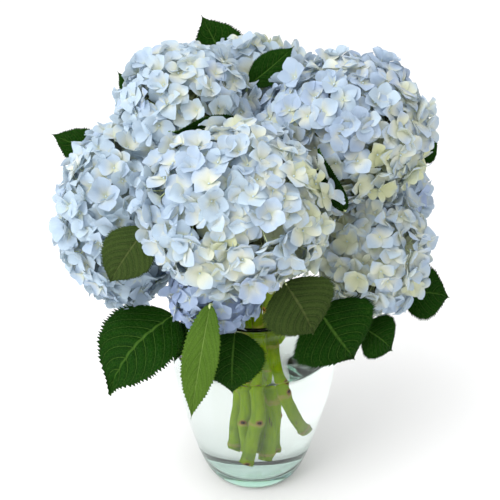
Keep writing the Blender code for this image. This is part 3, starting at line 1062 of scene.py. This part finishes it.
def painted_shade_core_finish():
    core = Finish("inner stalks in painted shade")
    grain = core.speckle(150.0, 4.0)
    lump = core.speckle(40.0, 2.0)
    # painted shade: the dark end and the dark patches stand for the shade deep in the head, the
    # light end for the stalks' green
    colour = core.blend((0.075, 0.085, 0.030), (0.42, 0.44, 0.20), core.fade(grain, 0.40, 0.68))
    colour = core.blend(colour, (0.10, 0.09, 0.05), core.fade(lump, 0.45, 0.60) * 0.5)
    core.surface(base_color=colour, roughness=0.7 + 0.2 * grain)
    core.relief(grain, 0.8, 0.002)
    return core


stalks = stalk_finish()
head_finishes = [petal_finish(), bead_finish(), stalks, painted_shade_core_finish()]
print("finishes in a mophead:", len(head_finishes))

# %% [markdown]
# ### The nine mopheads
# The coarse sepals get one level of `Subdivision Surface`, which rounds their edges.

# %% Make the mopheads
for seed, node in enumerate(HEADS):
    bm = mophead_mesh(node, seed)
    add_core(bm, node)
    slot = "cream_petal" if node == "bloom_lower_right" else "blue_petal"
    head = add_piece(node.replace("bloom", "mophead"), bm, head_finishes, node)
    rounder = head.modifiers.new("rounder petals", "SUBSURF")
    rounder.levels = 1
    rounder.render_levels = 1
    print(head.name, "faces:", len(head.data.polygons))

# %% [markdown]
# ## The leaves
# A hydrangea leaf is a broad pointed oval with toothed edges, a strong midrib and side veins
# that curve forward, and the blade puckers up between them. A fine grid is laid along the
# midrib's curve and pushed into that shape. `extrude_face_region` gives it thickness, and
# the sheet below gets the paler underside. A leaf stalk runs on to the nearest stem.

# %% Leaf shapes
LEAF_THICKNESS = 0.0005
LEAF_ALONG = 136
LEAF_ACROSS = 18
LEAF_WIDEST = 0.40
VEIN_PAIRS = 7
VEIN_SWEEP = 0.22
VEIN_BEND = 0.22
TOOTH_COUNT = 34
TOOTH_DEPTH = 0.062
DRIP_TIP = 0.14
PUCKER = 0.020
RIB_DEPTH = 0.020
RIB_WIDTH = 0.07
EDGE_WAVE = 0.035
TIP_DROP = 0.05
TIP_DROPS_FROM = 0.80
BLADE_SLIP = 0.03
PETIOLE_SIDES = 10
PETIOLE_STEPS = 24
PETIOLE_TOP = 0.0010
PETIOLE_MORE = 0.0009


def leaf_outline(u):
    """Half width as a share of the full width: a broad oval drawn out to a point."""
    if u < LEAF_WIDEST:
        return 0.5 * math.sin(math.pi / 2 * (u / LEAF_WIDEST)) ** 0.55
    rest = (u - LEAF_WIDEST) / (1.0 - LEAF_WIDEST)
    shoulder = math.cos(math.pi / 2 * rest) ** 0.90
    return 0.5 * (shoulder * (1.0 - rest ** 6) + DRIP_TIP * (1.0 - rest) * rest ** 6)


def vein_place(u, across):
    """Counts side veins: whole numbers lie on a vein, which curves forward to the edge."""
    side = abs(across)
    return (u - VEIN_SWEEP * side - VEIN_BEND * side * side) * (VEIN_PAIRS + 1)


def blade_mesh(bm, name, wave):
    """Pushes a flat grid into the blade and thickens it, giving the sheet below the underside
    finish.
    """
    foot, tip, width, face, side, bow = blade_frame(name)
    maps = bm.loops.layers.uv.new("blade")
    bmesh.ops.create_grid(bm, x_segments=LEAF_ALONG, y_segments=LEAF_ACROSS, size=1.0)
    flat = {}
    for v in bm.verts:
        u, across = (v.co.x + 1.0) / 2.0, v.co.y
        flat[v] = (u, across)
        half = max(0.0004, width * leaf_outline(u))
        edge = abs(across) ** 5
        tooth = 1.0 - (u * TOOTH_COUNT + 0.25 * math.sin(u * 40 + wave)) % 1.0
        half -= edge * width * TOOTH_DEPTH * tooth * min(1.0, 10 * (1 - u)) * min(1.0, 8 * u)
        vein = abs((vein_place(u, across) + 0.5) % 1.0 - 0.5) * 2.0
        swell = width * PUCKER * (vein ** 0.7) * (1 - abs(across) ** 3) * min(1.0, 6 * (1 - u))
        rib = -width * RIB_DEPTH * math.exp(-(across / RIB_WIDTH) ** 2)
        rise = bow * math.sin(math.pi * u) + half * 0.08 * abs(across) + swell + rib
        rise += width * EDGE_WAVE * math.sin(wave + 7 * u) * across * abs(across)
        past = max(0.0, u - TIP_DROPS_FROM) / (1.0 - TIP_DROPS_FROM)
        rise -= width * TIP_DROP * past ** 2
        slip = width * BLADE_SLIP * math.sin(math.pi * u) * math.sin(wave)
        v.co = foot.lerp(tip, u) + side * (half * across + slip) + face * rise
    for v in bm.verts:
        for loop in v.link_loops:
            u, across = flat[v]
            loop[maps].uv = (u, across * 0.5 + 0.5)
    sheet = bmesh.ops.extrude_face_region(bm, geom=bm.faces[:], use_keep_orig=True)["geom"]
    below = [part for part in sheet if isinstance(part, bmesh.types.BMVert)]
    bmesh.ops.translate(bm, verts=below, vec=-face * LEAF_THICKNESS)
    for part in sheet:
        if isinstance(part, bmesh.types.BMFace):
            part.material_index = 1
    bmesh.ops.recalc_face_normals(bm, faces=bm.faces)


def nearest_on_stems(point):
    spots = [spot for _, route in STEMS.values() for spot in smooth_route(route, 60)]
    return min((spot for spot in spots if spot.z > WATER_LEVEL + 0.02),
               key=lambda spot: (spot - point).length)


def leaf_mesh(name, seed):
    """A blade, and the leaf stalk that runs from it to the nearest stem."""
    foot, tip, _, face, _, _ = blade_frame(name)
    bm = bmesh.new()
    blade_mesh(bm, name, random.Random(seed).uniform(0, math.tau))
    blade = set(bm.faces)
    root = nearest_on_stems(foot)
    start = foot.lerp(tip, 0.05) - face * 0.0012
    sag = foot.lerp(root, 0.45) - UP * 0.006
    grow_tube(bm, smooth_route([start, foot - face * 0.0014, sag, root], PETIOLE_STEPS),
              lambda distance: PETIOLE_TOP + min(PETIOLE_MORE, distance * 0.02),
              PETIOLE_SIDES)
    for tube_face in bm.faces:
        if tube_face not in blade:
            tube_face.material_index = 2
    return bm


print("teeth on each edge:", TOOTH_COUNT)

# %% [markdown]
# ### Leaf finishes
# The blade's own map runs along and across it, so the same sum that puckers the mesh draws the
# side veins in colour. It also paints the raised blade between the veins lighter and the grooves
# beside them darker, as painted light and shade mixed with a real mottle. A fine net of cells
# stands for the smallest veins. Fresh leaves are dark and a little glossy, two are dull olive,
# one is pale, and all share a paler underside.

# %% Leaf finishes
LEAF_GLOW = (0.05, 0.12, 0.01)
LEAF_GLOW_SHARE = 0.07
VEIN_FADE = (0.015, 0.085)
RIB_FADE = (0.012, 0.045)


def leaf_side(name, dark, light, vein_colour, gloss, under=False):
    blade = Finish(name)
    u, v = blade.split(blade.node("UVMap", {"uv_map": "blade"}))
    side = ((v - 0.5) * 2.0).math("ABSOLUTE")
    count = (u - side * VEIN_SWEEP - side * side * VEIN_BEND) * (VEIN_PAIRS + 1)
    near = ((count + 0.5).math("FRACT") - 0.5).math("ABSOLUTE") * 2.0
    side_veins = (1.0 - blade.fade(near, *VEIN_FADE)) * (1.0 - side * 0.5)
    midrib = (1.0 - blade.fade(side, *RIB_FADE)) * (1.15 - u * 0.7)
    veins = side_veins.math("MAXIMUM", midrib)
    net = blade.node("TexVoronoi", {"feature": "DISTANCE_TO_EDGE"},
                     {"Vector": blade.place(), "Scale": 420.0})
    net = 1.0 - blade.fade(net, 0.02, 0.12)
    patch = blade.speckle(60.0, 3.0)
    # painted light and shade: lighter on the raised blade between the side veins, darker in the
    # grooves beside them
    painted_bulge_light = blade.fade(near, 0.1, 0.9)
    colour = blade.blend(dark, light, patch * 0.6 + painted_bulge_light * 0.4)
    colour = blade.blend(colour, vein_colour, net * 0.14)
    colour = blade.blend(colour, vein_colour, veins * (0.75 if under else 0.70))
    blade.surface(base_color=colour, roughness=gloss + 0.15 * patch, specular_ior_level=0.03)
    height = net * -0.45 + veins * (1.0 if under else -1.0) + patch * 0.3
    blade.relief(height, 0.70, 0.0008)
    let_light_through(blade, LEAF_GLOW, LEAF_GLOW_SHARE)
    return blade


underside = leaf_side("leaf underside", (0.13, 0.22, 0.08), (0.18, 0.28, 0.11),
                      (0.36, 0.46, 0.24), 0.6, under=True)
# dark and light green, vein colour, and roughness where it is smoothest
LEAF_FINISHES = {
    "leaf_green": leaf_side("green leaf", (0.002, 0.017, 0.0006), (0.007, 0.043, 0.002),
                            (0.085, 0.185, 0.028), 0.32),
    "leaf_olive": leaf_side("olive leaf", (0.016, 0.034, 0.007), (0.050, 0.080, 0.018),
                            (0.11, 0.14, 0.045), 0.5),
    "leaf_pale": leaf_side("pale leaf", (0.046, 0.105, 0.009), (0.082, 0.160, 0.020),
                           (0.19, 0.29, 0.07), 0.42),
}
LEAF_SLOTS = {"leaf_olive_front": "leaf_olive", "leaf_left_inner": "leaf_olive",
              "leaf_pale_narrow": "leaf_pale"}
for seed, node in enumerate(LEAVES):
    slot = LEAF_SLOTS.get(node, "leaf_green")
    add_piece(node.replace("leaf", "blade"), leaf_mesh(node, seed),
              [LEAF_FINISHES[slot], underside, stalks], node)
print("leaves:", len(LEAVES))
